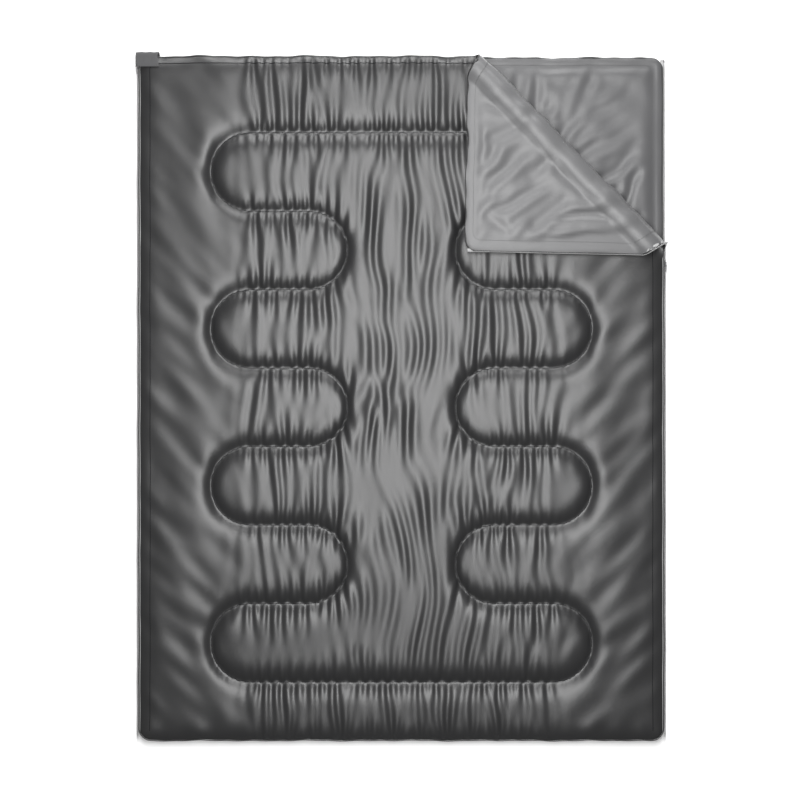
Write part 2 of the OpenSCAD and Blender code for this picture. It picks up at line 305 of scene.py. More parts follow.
class Cloth:
    """A simulated cloth: a grid of points whose third coordinate is the height off the quilt's edge."""

    def __init__(self, fields, levels, seed):
        """levels are the solver's passes, coarse to fine: the grid's size each way, the number
        of rounds and the cloth's stiffness."""
        xs = ys = lifted = None
        for level, (size_x, size_y, turns, bend) in enumerate(levels):
            old_xs, old_ys = xs, ys
            xs, ys = ticks(X_STOPS, size_x), ticks(Y_STOPS, size_y)
            xy = rounded(np.stack(np.meshgrid(xs, ys), -1))
            f = fields(xy, (size_x, size_y))
            flat = f["flat"]
            if lifted is None:
                p = np.dstack([flat, f["loft"]])
            else:
                lifted = finer(finer(lifted, old_ys, ys, 0), old_xs, xs, 1)
                p = lifted + np.dstack([flat, np.zeros(flat.shape[:2])])
            p[f["held"]] = f["place"][f["held"]]
            p = relax(p, f, turns, seed + level, bend)
            lifted = p - np.dstack([flat, np.zeros(flat.shape[:2])])
        self.xs, self.ys, self.flat = xs, ys, flat
        self.points = p.astype(float)

    def at(self, xy):
        """The cloth's points for places given on the closed, flat quilt."""
        u = np.interp(xy[:, 0], self.xs, np.arange(len(self.xs)))
        v = np.interp(xy[:, 1], self.ys, np.arange(len(self.ys)))
        i = np.minimum(u.astype(int), len(self.xs) - 2)
        j = np.minimum(v.astype(int), len(self.ys) - 2)
        a, b = (u - i)[:, None], (v - j)[:, None]
        p = self.points
        low = p[j, i] * (1 - a) + p[j, i + 1] * a
        high = p[j + 1, i] * (1 - a) + p[j + 1, i + 1] * a
        return low * (1 - b) + high * b


QUILTING = tree_of(meander())
HEM = tree_of(hem_line())


def by_fold(*places):
    """A line of places, given as lengths along the fold from the head edge and out from it."""
    return [FOLD_AT[:2] + t * FOLD_AXIS[:2] + s * FOLD_OUT[:2] for t, s in places]


CREASES = tree_of(
    by_fold((0.31, 0.012), (0.41, 0.045), (0.49, 0.030)),  # the pucker in the fold itself
    by_fold((0.24, 0.030), (0.21, 0.117)),
    by_fold((0.36, 0.050), (0.36, 0.113)),
    by_fold((0.47, 0.090), (0.46, 0.200)),
    by_fold((0.36, 0.277), (0.42, 0.266)),
    by_fold((0.52, 0.214), (0.67, 0.030)),
)


def cloudy(xy, size, seed):
    """A smooth random field from -1 to 1, whose lumps are about this size."""
    rng = np.random.default_rng(seed)
    total = np.zeros(xy.shape[:-1])
    for _ in range(14):
        turn, phase = rng.uniform(0, 2 * math.pi, 2)
        wave = 2 * math.pi / (size * rng.uniform(0.7, 2.2))
        total += np.sin(wave * (xy @ np.array([math.cos(turn), math.sin(turn)])) + phase)
    return np.clip(total / 5, -1, 1)


def pleats(xy, seed):
    """Long narrow folds that run from row to row and sway a little."""
    sway = 0.05 * cloudy(xy, 0.4, seed + 5)
    return cloudy(np.stack([xy[..., 0] + sway, 0.12 * xy[..., 1]], -1), 0.035, seed)


def side_folds(xy, seed):
    """Long soft folds that run down and inwards from the quilt's sides."""
    x, y = xy[..., 0], xy[..., 1]
    out = np.abs(x)
    across = (y - out) + 3 * np.sign(x)
    along = y + out
    return cloudy(np.stack([across, 0.3 * along], -1), 0.06, seed)


def shell_fields(sewn_h, top_h, high_h, pressed, seed):
    """Fields for a quilted shell, sewn down along the meander and round its edge. The top one is
    pressed: its seam rises where it rolls over the fold, and the folded corner lies on it."""
    def fields(xy, size):
        d, there = nearest(QUILTING, xy)
        edge = edge_distance(xy)
        sewn = np.linalg.norm((there - xy) / size, axis=-1) < 0.5
        on_edge = edge < 1e-5
        flat = np.where(sewn[..., None], there, xy)
        seam = np.minimum(d, edge)
        out = np.clip((np.abs(xy[..., 0]) - 0.40) / 0.14, 0, 1)  # 0 in the rows, 1 in the margins
        fluff = 0.0011 * (1 - out) * pleats(xy, seed) + 0.0030 * out * side_folds(xy, seed + 3)
        roll = np.exp(-(((beyond_fold(xy) - BEND_MID) / 0.035) ** 2)) if pressed else 0
        sewn_z = sewn_h + 0.010 * roll + np.zeros(d.shape)
        pillow = sewn_z + (top_h - sewn_z) * rise(d, 0.060)
        sides = 0.30 + 0.70 * rise(HALF_W - np.abs(xy[..., 0]), 0.24)
        margin = top_h * rise(edge, 0.055) * sides
        loft = np.minimum(pillow, margin) + fluff * np.clip(seam / 0.03, 0, 1)
        outer, outer_h = edge_place(xy)
        place = np.dstack([np.where(on_edge[..., None], outer, flat),
                           np.where(on_edge, outer_h, sewn_z)])
        grip = 0.002 + 0.006 * np.exp(-seam / 0.010)
        # the cloth is wider than its place, most of all where the thread gathers it
        slack = 1 + 0.6 * cloudy(xy * (1, 0.3), 0.07, seed + 1)
        slack = slack * (0.5 + 0.5 * np.exp(-((seam / 0.07) ** 2))) * (1 - 0.7 * out)
        gather = np.exp(-((seam / 0.016) ** 2))
        spare = np.stack([0.065 * slack + 0.12 * gather, 0.002 + 0.03 * gather], -1)
        skew = 0.005 * (1 - out) * cloudy(xy, 0.20, seed + 2)
        high = np.full(d.shape, high_h)
        if pressed:
            s = beyond_fold(xy)
            mirrored = xy - 2 * s[..., None] * FOLD_OUT[:2]
            clear = np.maximum(-edge_distance(mirrored), 0)
            cap = FOLD_AT[2] - TOP_EDGE_Z - 0.0004 + 0.5 * math.sin(FOLD_LIFT) * np.abs(s)
            high = np.minimum(high, cap + 0.35 * clear * (s < 0))
        return dict(flat=flat, held=sewn | on_edge, place=place, loft=np.minimum(loft, high),
                    grip=grip, low=sewn_z - 0.001, high=high, spare=spare, skew=skew,
                    stiff=1 + 2.5 * out, crease=0.03 * np.clip((seam - 0.008) / 0.016, 0, 1))
    return fields


def lining_fields(rest_h, low_h, high_h, creased, seed):
    """Fields for a lining, which is held at its edge, drawn in at its hem, and lies in soft folds
    on the batting. The top quilt's is creased where its corner is turned back."""
    def fields(xy, _size):
        hem, _ = nearest(HEM, xy)
        edge = edge_distance(xy)
        on_edge = edge < 1e-5
        margin = rest_h * (0.45 * rise(edge, 0.008) + 0.55 * rise(edge - HEM_SIDE, 0.040))
        drawn = 0.40 * rest_h + 0.60 * rest_h * rise(hem, 0.030)
        fluff = 0.0018 * cloudy(xy, 0.12, seed) * np.clip(edge / 0.05, 0, 1)
        loft = np.minimum(margin, drawn) + fluff
        outer, outer_h = edge_place(xy)
        place = np.dstack([outer, outer_h])
        near = np.minimum(edge, hem + 0.004)
        grip = 0.003 + 0.04 * np.exp(-near / 0.010)
        if creased:
            crease, _ = nearest(CREASES, xy)
            loft = loft - 0.0045 * np.exp(-((crease / 0.011) ** 2))
            grip = grip + 0.05 * np.exp(-((crease / 0.013) ** 2))
        slack = 1 + 0.7 * cloudy(xy, 0.20, seed + 1)
        spare = np.stack([0.026 * slack, 0.020 * slack], -1)
        skew = 0.025 * cloudy(xy, 0.35, seed + 2) - 0.01
        high = np.full(edge.shape, high_h)
        low = np.minimum(low_h, 0.002 + 0.25 * edge)
        return dict(flat=xy, held=on_edge, place=place, loft=loft, grip=grip, low=low,
                    high=high, spare=spare, skew=skew, stiff=np.ones(edge.shape),
                    crease=np.zeros(edge.shape))
    return fields


# ---- mesh building ----

def make_mesh(name, verts, faces, finish, uvs=None):
    """A smooth piece in the scene; uvs are the places on the flat cloth, in metres."""
    mesh = bpy.data.meshes.new(name)
    faces = faces.tolist() if isinstance(faces, np.ndarray) else faces
    mesh.from_pydata(np.asarray(verts, float).tolist(), [], faces)
    mesh.materials.append(finish)
    mesh.shade_smooth()
    if uvs is not None:
        layer = mesh.uv_layers.new(name="cut")
        corners = np.zeros(len(mesh.loops), np.int32)
        mesh.loops.foreach_get("vertex_index", corners)
        layer.data.foreach_set("uv", np.asarray(uvs, np.float32)[corners].ravel())
    mesh.update()
    obj = bpy.data.objects.new(name, mesh)
    bpy.context.scene.collection.objects.link(obj)
    return obj


def grid_faces(rows, cols, flip=False):
    """Quads that face up for a grid whose rows run up the quilt, or down when flipped."""
    i = np.arange(rows * cols).reshape(rows, cols)
    quads = np.stack([i[:-1, :-1], i[:-1, 1:], i[1:, 1:], i[1:, :-1]], -1).reshape(-1, 4)
    return quads[:, ::-1] if flip else quads


def cloth_object(name, cloth, edge_z, side, finish):
    """The cloth as a mesh, above the quilt's edge where side is 1 and below it where it is -1."""
    p = cloth.points.copy()
    p[..., 2] = edge_z + side * p[..., 2]
    rows, cols = p.shape[:2]
    return make_mesh(name, p.reshape(-1, 3), grid_faces(rows, cols, side < 0), finish,
                     cloth.flat.reshape(-1, 2))


def fold_back(obj):
    """Blends a piece, drawn with the corner closed, across the fold, and turns its far side back."""
    start, end = FOLD_AT + BEND_FROM * FOLD_OUT, FOLD_AT + BEND_TO * FOLD_OUT
    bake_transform(obj, "bag", "flap", start=tuple(start), end=tuple(end))
    count = len(obj.data.vertices)
    weight = np.zeros(count, np.float32)
    obj.data.attributes["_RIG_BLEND"].data.foreach_get("value", weight)
    p = np.zeros(count * 3, np.float32)
    obj.data.vertices.foreach_get("co", p)
    p = p.reshape(-1, 3) - FOLD_AT
    turn = (weight * FOLD_TURN)[:, None]
    along = (p @ FOLD_AXIS)[:, None] * FOLD_AXIS
    p = p * np.cos(turn) + np.cross(FOLD_AXIS, p) * np.sin(turn) + along * (1 - np.cos(turn))
    obj.data.vertices.foreach_set("co", (p + FOLD_AT).astype(np.float32).ravel())
    obj.data.update()
    return obj


def tube(points, radius, sides, closed_ends=True):
    """Points and quads of a tube along a path of points."""
    points = np.asarray(points, float)
    tangent = np.gradient(points, axis=0)
    tangent /= np.linalg.norm(tangent, axis=1)[:, None]
    helper = np.where(np.abs(tangent[:, 2:3]) > 0.9, [[1.0, 0, 0]], [[0, 0, 1.0]])
    across = np.cross(tangent, helper)
    across /= np.linalg.norm(across, axis=1)[:, None]
    other = np.cross(tangent, across)
    a = np.arange(sides) * 2 * math.pi / sides
    ring = across[:, None] * np.cos(a)[None, :, None] + other[:, None] * np.sin(a)[None, :, None]
    size = np.broadcast_to(np.asarray(radius, float), (len(points),))
    verts = (points[:, None] + ring * size[:, None, None]).reshape(-1, 3)
    i = np.arange(len(points) * sides).reshape(-1, sides)
    j = np.roll(i, -1, 1)
    quads = np.stack([i[:-1], i[1:], j[1:], j[:-1]], -1).reshape(-1, 4).tolist()
    if closed_ends:
        quads += [i[0][::-1].tolist(), i[-1].tolist()]
    return verts, quads


def merged(parts):
    """Joins several (points, faces) into one."""
    verts, faces, start = [], [], 0
    for v, f in parts:
        verts.append(v)
        faces += [[k + start for k in face] for face in f]
        start += len(v)
    return np.vstack(verts), faces


def stitches(name, places, height, finish, radius):
    """A row of lockstitches. places are points on the cloth, a stitch apart."""
    gap, longest = 0.0008, 0.012
    parts = []
    for a, b in zip(places[:-1], places[1:]):
        length = np.linalg.norm(b - a)
        if not 1e-4 < length < longest:
            continue
        t = np.array([gap / 2, 0.3 * length, 0.7 * length, length - gap / 2]) / length
        path = a + t[:, None] * (b - a)
        path[:, 2] += height * np.array([-0.6, 1, 1, -0.6])
        parts.append(tube(path, [radius * 0.7, radius, radius, radius * 0.7], 5))
    return make_mesh(name, *merged(parts), finish)


# ---- materials ----

def material(name, colour, roughness, sheen=0.0, specular=0.5, metallic=0.0):
    """A new material, with its nodes, their links and its shader."""
    mat = bpy.data.materials.new(name)
    mat.use_nodes = True
    shader = mat.node_tree.nodes["Principled BSDF"]
    shader.inputs["Base Color"].default_value = (*colour, 1)
    shader.inputs["Roughness"].default_value = roughness
    shader.inputs["Specular IOR Level"].default_value = specular
    shader.inputs["Metallic"].default_value = metallic
    shader.inputs["Sheen Weight"].default_value = sheen
    shader.inputs["Sheen Roughness"].default_value = 0.4
    return mat, mat.node_tree.nodes, mat.node_tree.links, shader


def woven(name, colour, roughness, pitch, bump, sheen):
    """Plain-woven cloth: two crossed sets of threads in the bump, with slubs in the colour and
    slow changes of tone across the piece."""
    blotch = 0.10
    mat, nodes, links, shader = material(name, colour, roughness, sheen=sheen)
    place = nodes.new("ShaderNodeTexCoord").outputs["UV"]
    waves = []
    for direction in ("X", "Y"):
        wave = nodes.new("ShaderNodeTexWave")
        wave.bands_direction = direction
        wave.inputs["Scale"].default_value = math.pi / 10 / pitch
        wave.inputs["Distortion"].default_value = 0.6
        wave.inputs["Detail"].default_value = 1.0
        links.new(place, wave.inputs["Vector"])
        waves.append(wave.outputs["Fac"])
    weave = nodes.new("ShaderNodeMath")
    weave.operation = "MULTIPLY"
    links.new(waves[0], weave.inputs[0])
    links.new(waves[1], weave.inputs[1])
    slow = nodes.new("ShaderNodeTexNoise")
    slow.inputs["Scale"].default_value = 7
    slow.inputs["Detail"].default_value = 4
    links.new(place, slow.inputs["Vector"])
    slubs = nodes.new("ShaderNodeTexNoise")
    slubs.inputs["Scale"].default_value = 900
    slubs.inputs["Detail"].default_value = 2
    links.new(place, slubs.inputs["Vector"])
    tone = nodes.new("ShaderNodeMapRange")
    tone.inputs["To Min"].default_value = 1 - blotch
    tone.inputs["To Max"].default_value = 1 + blotch
    links.new(slow.outputs["Fac"], tone.inputs["Value"])
    fine = nodes.new("ShaderNodeMapRange")
    fine.inputs["To Min"].default_value = 0.86
    fine.inputs["To Max"].default_value = 1.12
    links.new(slubs.outputs["Fac"], fine.inputs["Value"])
    both = nodes.new("ShaderNodeMath")
    both.operation = "MULTIPLY"
    links.new(tone.outputs["Result"], both.inputs[0])
    links.new(fine.outputs["Result"], both.inputs[1])
    shade = nodes.new("ShaderNodeMix")
    shade.data_type = "RGBA"
    shade.blend_type = "MULTIPLY"
    shade.inputs["Factor"].default_value = 1
    shade.inputs["A"].default_value = (*colour, 1)
    links.new(both.outputs["Value"], shade.inputs["B"])
    links.new(shade.outputs["Result"], shader.inputs["Base Color"])
    ruffle = nodes.new("ShaderNodeBump")
    ruffle.inputs["Strength"].default_value = bump
    ruffle.inputs["Distance"].default_value = pitch * 0.5
    links.new(weave.outputs["Value"], ruffle.inputs["Height"])
    links.new(ruffle.outputs["Normal"], shader.inputs["Normal"])
    return mat


def grained(name, colour, roughness, scale, bump, metallic=0.0, specular=0.5, sheen=0.0):
    """Thread, coil, felt or painted metal: a fine grain in colour, roughness and bump."""
    mat, nodes, links, shader = material(name, colour, roughness, sheen=sheen, specular=specular,
                                         metallic=metallic)
    place = nodes.new("ShaderNodeTexCoord").outputs["Object"]
    grain = nodes.new("ShaderNodeTexNoise")
    grain.inputs["Scale"].default_value = scale
    grain.inputs["Detail"].default_value = 4
    links.new(place, grain.inputs["Vector"])
    ramp = nodes.new("ShaderNodeValToRGB")
    ramp.color_ramp.elements[0].position = 0.3
    ramp.color_ramp.elements[0].color = (*[c * 0.75 for c in colour], 1)
    ramp.color_ramp.elements[1].position = 0.7
    ramp.color_ramp.elements[1].color = (*[c * 1.2 for c in colour], 1)
    links.new(grain.outputs["Fac"], ramp.inputs["Fac"])
    links.new(ramp.outputs["Color"], shader.inputs["Base Color"])
    rough = nodes.new("ShaderNodeMapRange")
    rough.inputs["To Min"].default_value = roughness * 0.8
    rough.inputs["To Max"].default_value = min(1.0, roughness * 1.25)
    links.new(grain.outputs["Fac"], rough.inputs["Value"])
    links.new(rough.outputs["Result"], shader.inputs["Roughness"])
    ruffle = nodes.new("ShaderNodeBump")
    ruffle.inputs["Strength"].default_value = bump
    ruffle.inputs["Distance"].default_value = 0.3 / scale
    links.new(grain.outputs["Fac"], ruffle.inputs["Height"])
    links.new(ruffle.outputs["Normal"], shader.inputs["Normal"])
    return mat


SHELL = woven("shell_cloth", (0.012, 0.012, 0.0125), 0.37, pitch=0.0006, bump=0.15, sheen=0.04)
LINING = woven("lining_cloth", (0.085, 0.085, 0.087), 0.44, pitch=0.0007, bump=0.15, sheen=0.08)
# the bottom quilt's lining: the same cloth as the top lining, in a darker colour that paints the shade of
# the low lining, which catches less light than the raised corner
LINING_PAINTED_DARKER = woven("lower_lining_painted_shade", (0.060, 0.060, 0.062), 0.42,
              pitch=0.0007, bump=0.15, sheen=0.08)
TAB_CLOTH = woven("tab_cloth", (0.05, 0.05, 0.052), 0.8, pitch=0.0012, bump=0.5, sheen=0.1)
TAPE = woven("zip_tape_cloth", (0.30, 0.30, 0.30), 0.75, pitch=0.0010, bump=0.4, sheen=0.1)
BATTING = grained("batting_fibre", (0.82, 0.82, 0.80), 0.95, 300, 0.8, sheen=0.3)
# sewing thread in the shell's colour, made dull so that, with the stitches' width, it also paints the shade
# in the quilting seams' narrow valleys
THREAD_AND_SEAM_SHADE = grained("sewing_thread_and_seam_shade", (0.012, 0.012, 0.013), 0.9, 2500, 0.5, specular=0.1)
LINING_THREAD = grained("lining_thread", (0.07, 0.07, 0.071), 0.8, 2500, 0.5)
COIL = grained("zip_coil_nylon", (0.33, 0.33, 0.33), 0.35, 600, 0.2)
METAL = grained("painted_zinc", (0.10, 0.10, 0.105), 0.38, 900, 0.15, metallic=0.6)
FELT = grained("hook_and_loop", (0.03, 0.03, 0.032), 0.95, 1500, 0.9, sheen=0.3)
FLOOR = material("pale_floor", (0.94, 0.94, 0.94), 0.9)[0]


# ---- camera, lights and floor ----

def add_camera():
    """Straight above the bag, so far up that the picture is view_w wide on the closed quilts."""
    data = bpy.data.cameras.new("camera")
    data.lens = 85
    data.sensor_width = 36
    camera = bpy.data.objects.new("camera", data)
    view_w = 2.224
    centre = Vector((-0.004, -0.0095, 0))
    quilts_z = 0.03
    distance = view_w * data.lens / data.sensor_width
    camera.location = centre + Vector((0, 0, distance + quilts_z))
    bpy.context.scene.collection.objects.link(camera)
    bpy.context.scene.camera = camera


def add_light(name, place, target, size, power):
    data = bpy.data.lights.new(name, "AREA")
    data.shape = "RECTANGLE"
    data.size, data.size_y = size
    data.energy = power
    light = bpy.data.objects.new(name, data)
    light.location = place
    light.rotation_mode = "QUATERNION"
    light.rotation_quaternion = (Vector(target) - Vector(place)).to_track_quat("-Z", "Y")
    bpy.context.scene.collection.objects.link(light)


def add_stage():
    reach = 8
    verts = [(-reach, -reach, 0), (reach, -reach, 0), (reach, reach, 0), (-reach, reach, 0)]
    floor = make_mesh("floor", verts, [[0, 1, 2, 3]], FLOOR)
    world = bpy.data.worlds.new("studio")
    world.use_nodes = True
    background = world.node_tree.nodes["Background"]
    background.inputs["Color"].default_value = (1, 1, 1, 1)
    background.inputs["Strength"].default_value = 0.32
    bpy.context.scene.world = world
    bpy.context.scene.view_settings.view_transform = "Standard"
    add_light("key_from_head", (0.1, 3.0, 1.5), (0, 0, 0), (2.4, 1.2), 105)
    add_light("overhead_strip", (0.03, 0.30, 2.8), (0.03, 0.15, 0), (0.24, 2.5), 122)


add_camera()
add_stage()


# ---- the quilts ----

def batting_object(name, shell, lining, edge_z, side):
    """The batting: a closed pad that stays inside the shell and the lining, and further inside
    them where they roll over the fold."""
    inset, least, size = 0.020, 0.0003, 0.011
    x_stops = [-HALF_W + inset, *X_STOPS[1:-1], HALF_W - inset]
    y_stops = [FOOT_Y + inset, *Y_STOPS[1:-1], HEAD_Y - inset]
    xs, ys = ticks(x_stops, size), ticks(y_stops, size)
    xy = np.stack(np.meshgrid(xs, ys), -1)
    shrink = 1 - inset / HALVES
    xy = MIDDLE + (rounded(MIDDLE + (xy - MIDDLE) / shrink) - MIDDLE) * shrink
    steps = np.linspace(-size, size, 9)
    spots = [(a, b) for a in steps for b in steps]
    bend = (beyond_fold(xy).ravel() - BEND_MID) / 0.03
    skin = 0.0020 + 0.0045 * np.exp(-(bend ** 2))
    outer = np.min([shell.at((xy + s).reshape(-1, 2))[:, 2] for s in spots], axis=0) - skin
    inner = np.min([lining.at((xy + s).reshape(-1, 2))[:, 2] for s in spots], axis=0) - skin
    thin = np.maximum(least - (outer + inner) / 2, 0)
    outer, inner = outer + thin, inner + thin
    rows, cols = xy.shape[:2]
    top = np.column_stack([xy.reshape(-1, 2), edge_z + side * outer])
    base = np.column_stack([xy.reshape(-1, 2), edge_z - side * inner])
    i = np.arange(rows * cols).reshape(rows, cols)
    rim = np.concatenate([i[0, :-1], i[:-1, -1], i[-1, :0:-1], i[:0:-1, 0]])
    wall = np.stack([rim, rim + rows * cols, np.roll(rim, -1) + rows * cols, np.roll(rim, -1)], -1)
    faces = np.vstack([grid_faces(rows, cols), grid_faces(rows, cols, True) + rows * cols, wall])
    if side < 0:
        faces = faces[:, ::-1]
    return make_mesh(name, np.vstack([top, base]), faces, BATTING)


def seam_object(name, edge_z):
    """The turned edge where a quilt's shell and lining are sewn together."""
    x, y = HALVES - CORNER_R
    path = []
    for quarter, (sx, sy) in enumerate([(1, 1), (-1, 1), (-1, -1), (1, -1)]):
        for a in np.linspace(0, math.pi / 2, 9) + quarter * math.pi / 2:
            path.append((sx * x + CORNER_R * math.cos(a),
                         MIDDLE[1] + sy * y + CORNER_R * math.sin(a)))
    path = even_points(path + path[:1], 0.006)
    moved, height = edge_place(path)
    beside = np.clip((np.abs(path[:, 0]) - HALF_W) / 0.004 + 1, 0, 1)
    moved[:, 0] += EDGE_R * beside * np.sign(path[:, 0])
    points = np.column_stack([moved, edge_z + height])
    return make_mesh(name, *tube(points, EDGE_R, 8, False), SHELL)


def thread_on(name, cloth, path, edge_z, side, finish=THREAD_AND_SEAM_SHADE, radius=STITCH_R):
    """Stitches along a path of the flat quilt, laid on the cloth."""
    places = cloth.at(even_points(path, STITCH))
    places[:, 2] = edge_z + side * places[:, 2]
    return stitches(name, places, side * STITCH_LIFT, finish, radius)


def top_quilt():
    """The top quilt's pieces, drawn closed and then folded back at the head's right corner."""
    shell = Cloth(shell_fields(sewn_h=-0.003, top_h=0.0125, high_h=0.0175, pressed=True, seed=41),
                  levels=[(0.016, 0.016, 400, 0.004), (0.008, 0.008, 300, 0.003),
                          (0.0042, 0.0067, 260, 0.0060)], seed=3)
    lining = Cloth(lining_fields(rest_h=0.0088, low_h=0.0045, high_h=0.0125, creased=True, seed=51),
                   levels=[(0.016, 0.016, 400, 0.004), (0.008, 0.008, 200, 0.003)], seed=11)
    cloths = dict(
        shell=cloth_object("top_shell_cloth", shell, TOP_EDGE_Z, 1, SHELL),
        lining=cloth_object("top_lining_cloth", lining, TOP_EDGE_Z, -1, LINING),
        batting=batting_object("top_batting_pad", shell, lining, TOP_EDGE_Z, 1),
        seam=seam_object("top_edge_seam", TOP_EDGE_Z),
        quilting=thread_on("top_quilting_thread", shell, meander(), TOP_EDGE_Z, 1),
        hem=thread_on("top_hem_thread", shell, hem_line(), TOP_EDGE_Z, 1),
        inner=thread_on("top_hem_thread_inside", lining, hem_line(), TOP_EDGE_Z, -1,
                        LINING_THREAD, HEM_STITCH_R),
    )
    for piece in cloths.values():
        fold_back(piece)
    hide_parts("top_shell", "flap_shell")
    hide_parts("top_lining", "flap_lining")
    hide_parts("top_fill", "flap_fill")
    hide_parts("top_quilting", "flap_quilting")
    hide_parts("top_hem_stitching", "flap_hem_stitching")
    return cloths


def bottom_quilt():
    """The bottom quilt's pieces, which lie flat on the floor."""
    shell = Cloth(shell_fields(sewn_h=0.001, top_h=0.0098, high_h=0.0099, pressed=False, seed=61),
                  levels=[(0.016, 0.016, 300, 0.004), (0.008, 0.008, 150, 0.003)], seed=21)
    lining = Cloth(lining_fields(rest_h=0.0088, low_h=0.002, high_h=0.0115, creased=False, seed=71),
                   levels=[(0.016, 0.016, 400, 0.004), (0.008, 0.008, 200, 0.003)], seed=31)
    cloths = dict(
        shell=cloth_object("bottom_shell_cloth", shell, BOTTOM_EDGE_Z, -1, SHELL),
        # the bottom lining is the lining cloth painted darker, as shade
        lining=cloth_object("bottom_lining_cloth", lining, BOTTOM_EDGE_Z, 1, LINING_PAINTED_DARKER),
        batting=batting_object("bottom_batting_pad", shell, lining, BOTTOM_EDGE_Z, -1),
        seam=seam_object("bottom_edge_seam", BOTTOM_EDGE_Z),
        quilting=thread_on("bottom_quilting_thread", shell, meander(), BOTTOM_EDGE_Z, -1),
        hem=thread_on("bottom_hem_thread", lining, hem_line(), BOTTOM_EDGE_Z, 1,
                      LINING_THREAD, HEM_STITCH_R),
    )
    for piece in cloths.values():
        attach(piece, "bag")
    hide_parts("bottom_shell")
    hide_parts("bottom_lining")
    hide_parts("bottom_fill")
    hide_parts("bottom_quilting")
    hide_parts("bottom_hem_stitching")
    return cloths


top = top_quilt()
bottom = bottom_quilt()


# ---- the foot gusset ----

def foot_gusset():
    """A strip round the foot that joins the two quilts' edges."""
    x = HALF_W - CORNER_R
    path = [(-x + CORNER_R * math.cos(a), FOOT_Y + CORNER_R + CORNER_R * math.sin(a))
            for a in np.linspace(1.25 * math.pi, 1.5 * math.pi, 7)]
    path += [(x + CORNER_R * math.cos(a), FOOT_Y + CORNER_R + CORNER_R * math.sin(a))
             for a in np.linspace(1.5 * math.pi, 1.75 * math.pi, 7)]
    path = even_points(path, 0.006)
    along = np.gradient(path, axis=0)
    out = np.stack([along[:, 1], -along[:, 0]], -1)
    out /= np.linalg.norm(out, axis=1)[:, None]
    moved, height = edge_place(path)
    rng = np.random.default_rng(5)
    puckers = np.convolve(rng.normal(0, 1, len(path) + 4), np.ones(5) / 5, "valid")
    levels = np.linspace(0, 1, 9)
    rows = []
    for t in levels:
        bulge = math.sin(math.pi * t) * (0.0022 + 0.0012 * puckers)
        xy = moved + out * bulge[:, None]
        z = BOTTOM_EDGE_Z + t * (TOP_EDGE_Z - BOTTOM_EDGE_Z) + height
        rows.append(np.column_stack([xy, z]))
    grid = np.array(rows)
    uvs = np.stack(np.meshgrid(path[:, 0], levels * 0.026), -1).reshape(-1, 2)
    piece = make_mesh("foot_gusset_cloth", grid.reshape(-1, 3), grid_faces(*grid.shape[:2]),
                      SHELL, uvs)
    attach(piece, "bag")
    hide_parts("foot_gusset")


foot_gusset()


# ---- the zips ----

COIL_PITCH = 0.0025
COIL_WIRE = 0.00026
TAPE_STEP = 0.0011
TAPE_ENDS = (lower_tape[0][1], lower_tape[1][1])
COIL_ENDS = (lower_coil[0][1], lower_coil[1][1])


def zip_tape(name, side, up):
    """A tape from a quilt's edge round to its coil. side is 1 on the right; up is 1 on the top."""
    edge_z = TOP_EDGE_Z if up > 0 else BOTTOM_EDGE_Z
    inner, outer = HALF_W - 0.004, ZIP_X
    end_z = ZIP_MID_Z + up * (COIL_OUT - 0.0004)
    path = [(inner, edge_z), (outer - 0.002, edge_z), (outer - 0.0006, edge_z - up * 0.0006),
            (outer, edge_z - up * 0.002), (outer, end_z)]
    path = even_points(path, TAPE_STEP)
    normal = np.gradient(path, axis=0)
    normal = np.stack([normal[:, 1], -normal[:, 0]], -1)
    normal /= np.linalg.norm(normal, axis=1)[:, None]
    ring = np.vstack([path + normal * TAPE_T / 2, (path - normal * TAPE_T / 2)[::-1]])
    ys = np.linspace(*TAPE_ENDS, round((TAPE_ENDS[1] - TAPE_ENDS[0]) / 0.005))
    wave = 0.0003 * np.sin(ys * 31 + side) * np.sin(ys * 13 + up)
    verts = np.array([[(side * (x + w * (x > inner + 0.001)), y, z) for x, z in ring]
                      for y, w in zip(ys, wave)])
    rows, cols = verts.shape[:2]
    i = np.arange(rows * cols).reshape(rows, cols)
    j = np.roll(i, -1, 1)
    faces = np.stack([i[:-1], j[:-1], j[1:], i[1:]], -1).reshape(-1, 4)
    half = cols // 2
    caps = [[k, k + 1, cols - 2 - k, cols - 1 - k] for k in range(half - 1)]
    faces = faces.tolist() + caps + [[(rows - 1) * cols + k for k in cap[::-1]] for cap in caps]
    if side * up < 0:
        faces = [face[::-1] for face in faces]
    lengths = np.concatenate([np.arange(half), np.arange(half)[::-1]]) * TAPE_STEP
    uvs = np.stack(np.meshgrid(lengths, ys), -1).reshape(-1, 2)
    return make_mesh(name, verts.reshape(-1, 3), faces, TAPE, uvs)


def zip_coil(name, side, up):
    """A nylon coil, whose turns stand off the tape's edge towards the other half."""
    turns = (COIL_ENDS[1] - COIL_ENDS[0]) / COIL_PITCH
    per_turn = 8
    t = np.linspace(0, turns, round(turns * per_turn) + 1)
    near, far = 0.0002 + COIL_WIRE, COIL_OUT - COIL_WIRE
    phase = 2 * math.pi * t + (math.pi if up > 0 else 0)
    z = ZIP_MID_Z + up * ((near + far) / 2 + (far - near) / 2 * np.cos(phase))
    x = side * (ZIP_X + 0.0008 * np.sin(phase))
    path = np.column_stack([x, COIL_ENDS[0] + t * COIL_PITCH, z])
    return make_mesh(name, *tube(path, COIL_WIRE, 4), COIL)


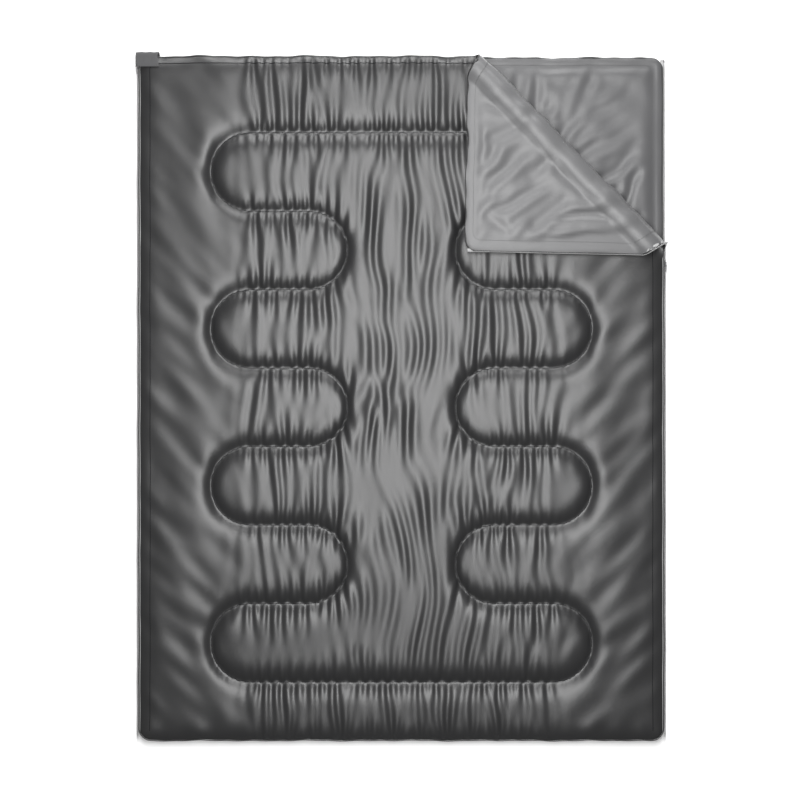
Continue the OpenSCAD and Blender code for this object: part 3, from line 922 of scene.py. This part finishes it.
def zips():
    """Both zips' tapes and coils; the right upper half turns back with the corner."""
    for side, hand in ((1, "right"), (-1, "left")):
        for up, half in ((1, "upper"), (-1, "lower")):
            tape = zip_tape(f"{hand}_{half}_zip_tape", side, up)
            coil = zip_coil(f"{hand}_{half}_zip_coil", side, up)
            crosses = side > 0 and up > 0
            for piece, kind in ((tape, "tape"), (coil, "coil")):
                if crosses:
                    fold_back(piece)
                    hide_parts(f"{hand}_{half}_{kind}", f"flap_{kind}")
                else:
                    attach(piece, "bag")
                    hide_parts(f"{hand}_{half}_{kind}")


zips()


# ---- the closure tab ----

def closure_tab():
    """The cloth tab sewn to the bottom quilt's head edge, up round both quilts and back."""
    low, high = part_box("closure_tab")
    thick, length, visible = 0.0020, 0.083, 0.070
    width = 0.065
    out = high[1] - thick / 2
    top_z = high[2] - thick / 2
    r = 0.008
    path = [(HEAD_Y + 0.002, low[2] + thick / 2), (out - 0.001, low[2] + 0.006),
            (out, low[2] + 0.012)]
    path += [(out - r + r * math.cos(a), top_z - r + r * math.sin(a))
             for a in np.linspace(0, math.pi / 2, 7)]
    path += [(low[1], top_z)]
    path = even_points(path, 0.0024)
    along = np.linspace(0, 1, len(path))
    tangent = np.gradient(path, axis=0)
    normal = np.stack([tangent[:, 1], -tangent[:, 0]], -1)
    normal /= np.linalg.norm(normal, axis=1)[:, None]
    across = np.linspace(0, 1, 29)
    layers = []
    for face in (1, -1):
        grid = np.zeros((len(path), len(across), 3))
        for i, t in enumerate(along):
            narrow = 0.0035 * max(0, 1 - abs(t - 0.62) / 0.25)
            left = low[0] + 0.0006
            right = high[0] - 0.0006 - narrow
            lump = 0.0005 * np.sin(across * 17 + 9 * t) * math.sin(math.pi * t)
            rim = 0.25 + 0.75 * np.sqrt(np.clip(np.minimum(across, 1 - across) / 0.04, 0, 1))
            half = thick / 2 * rim * math.sqrt(min(1, 8 * min(t, 1 - t) + 0.1))
            yz = path[i] + normal[i] * (face * half + lump)[:, None]
            grid[i] = np.column_stack([left + (right - left) * across, yz])
        layers.append(grid)
    rows, cols = layers[0].shape[:2]
    i = np.arange(rows * cols).reshape(rows, cols)
    rim = np.concatenate([i[0, :-1], i[:-1, -1], i[-1, :0:-1], i[:0:-1, 0]])
    nxt = np.roll(rim, -1)
    wall = np.stack([rim, nxt, nxt + rows * cols, rim + rows * cols], -1)
    faces = np.vstack([grid_faces(rows, cols, True), grid_faces(rows, cols) + rows * cols, wall])
    verts = np.vstack([g.reshape(-1, 3) for g in layers])
    uvs = np.tile(np.stack(np.meshgrid(across * width, along * visible), -1).reshape(-1, 2), (2, 1))
    tab = make_mesh("closure_tab_cloth", verts, faces, TAB_CLOTH, uvs)
    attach(tab, "tab")
    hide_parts("closure_tab")


closure_tab()


# ---- finishes of the CAD nodes that stay ----

for node in ("left_slider", "left_pull", "right_slider", "right_pull", "bottom_stops",
             "top_stops", "flap_stop"):
    frame["nodes"][node].data.materials.clear()
    frame["nodes"][node].data.materials.append(METAL)
for node in ("tab_hook", "tab_loop"):
    frame["nodes"][node].data.materials.clear()
    frame["nodes"][node].data.materials.append(FELT)
